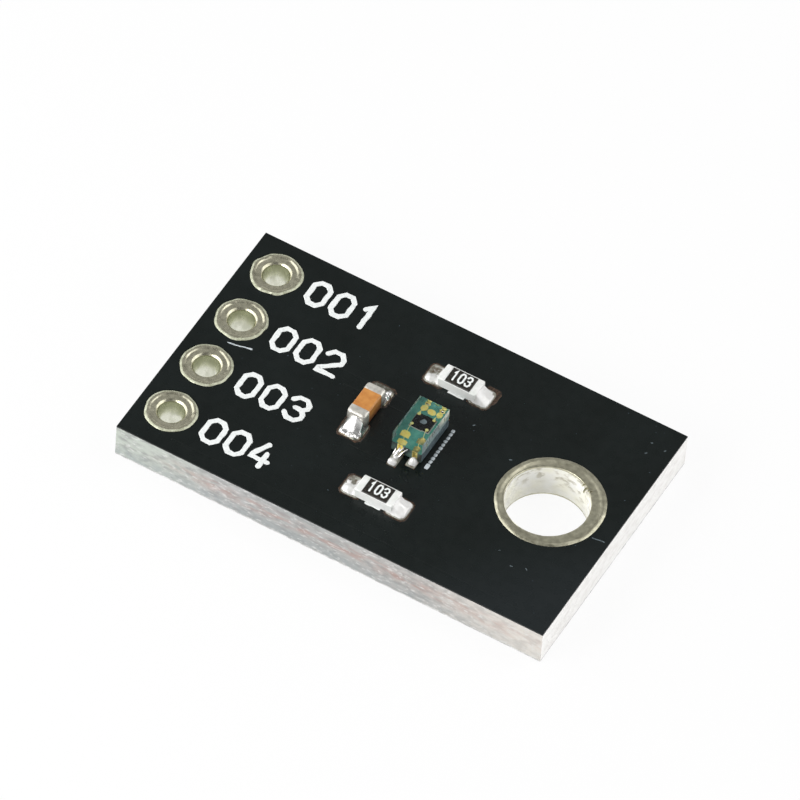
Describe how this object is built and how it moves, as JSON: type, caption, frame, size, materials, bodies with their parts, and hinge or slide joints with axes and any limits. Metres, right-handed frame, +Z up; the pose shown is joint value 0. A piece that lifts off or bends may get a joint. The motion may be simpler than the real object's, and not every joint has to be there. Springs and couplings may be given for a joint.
{
  "type": "uv sensor module",
  "caption": "Small black circuit board with a clear-packaged ultraviolet sensor, chip resistors and capacitor, a row of plated pin holes and a plain mounting hole.",
  "frame": {"origin": "centre of the board's underside", "axes": "+X from the pin row to the mounting hole, +Y towards the ground pin's edge, +Z up out of the component side"},
  "size_m": [0.0178, 0.0108, 0.0026],
  "materials": {
    "laminate": "matte, pale glass-fibre laminate",
    "solder_mask": "satin black lacquer",
    "copper": "bare etched copper",
    "tin_plating": "tin finish, satin",
    "solder": "reflowed solder, bright",
    "terminal": "tinned chip terminal, satin",
    "brown_ceramic": "fired ceramic, matte",
    "white_ceramic": "fired alumina, matte",
    "overcoat": "gloss black glass coat",
    "sensor_board": "teal lacquered laminate",
    "clear_resin": "clear, glossy",
    "silicon": "polished silicon",
    "die_adhesive": "silver-filled adhesive",
    "gold": "gold plating, satin"
  },
  "bodies": {
    "root": {"back_resistor_ceramic": "white_ceramic", "back_resistor_left_solder": "solder", "back_resistor_left_terminal": "terminal", "back_resistor_overcoat": "overcoat", "back_resistor_right_solder": "solder", "back_resistor_right_terminal": "terminal", "board_laminate": "laminate", "bottom_solder_mask": "solder_mask", "capacitor_back_solder": "solder", "capacitor_back_terminal": "terminal", "capacitor_ceramic": "brown_ceramic", "capacitor_front_solder": "solder", "capacitor_front_terminal": "terminal", "clock_copper": "copper", "clock_pin_pad": "tin_plating", "data_copper": "copper", "data_pin_pad": "tin_plating", "front_resistor_ceramic": "white_ceramic", "front_resistor_left_solder": "solder", "front_resistor_left_terminal": "terminal", "front_resistor_overcoat": "overcoat", "front_resistor_right_solder": "solder", "front_resistor_right_terminal": "terminal", "ground_copper": "copper", "ground_pin_pad": "tin_plating", "mounting_ring_bottom": "tin_plating", "mounting_ring_top": "tin_plating", "sensor_back_centre_pad": "gold", "sensor_back_left_bond_wire": "gold", "sensor_back_left_lead": "gold", "sensor_back_left_solder": "solder", "sensor_back_right_bond_wire": "gold", "sensor_back_right_lead": "gold", "sensor_back_right_solder": "solder", "sensor_clear_resin": "clear_resin", "sensor_die": "silicon", "sensor_die_adhesive": "die_adhesive", "sensor_front_left_bond_wire": "gold", "sensor_front_left_lead": "gold", "sensor_front_left_solder": "solder", "sensor_front_right_bond_wire": "gold", "sensor_front_right_lead": "gold", "sensor_front_right_solder": "solder", "sensor_substrate": "sensor_board", "supply_copper": "copper", "supply_pin_pad": "tin_plating", "top_solder_mask": "solder_mask"}
  },
  "joints": []
}
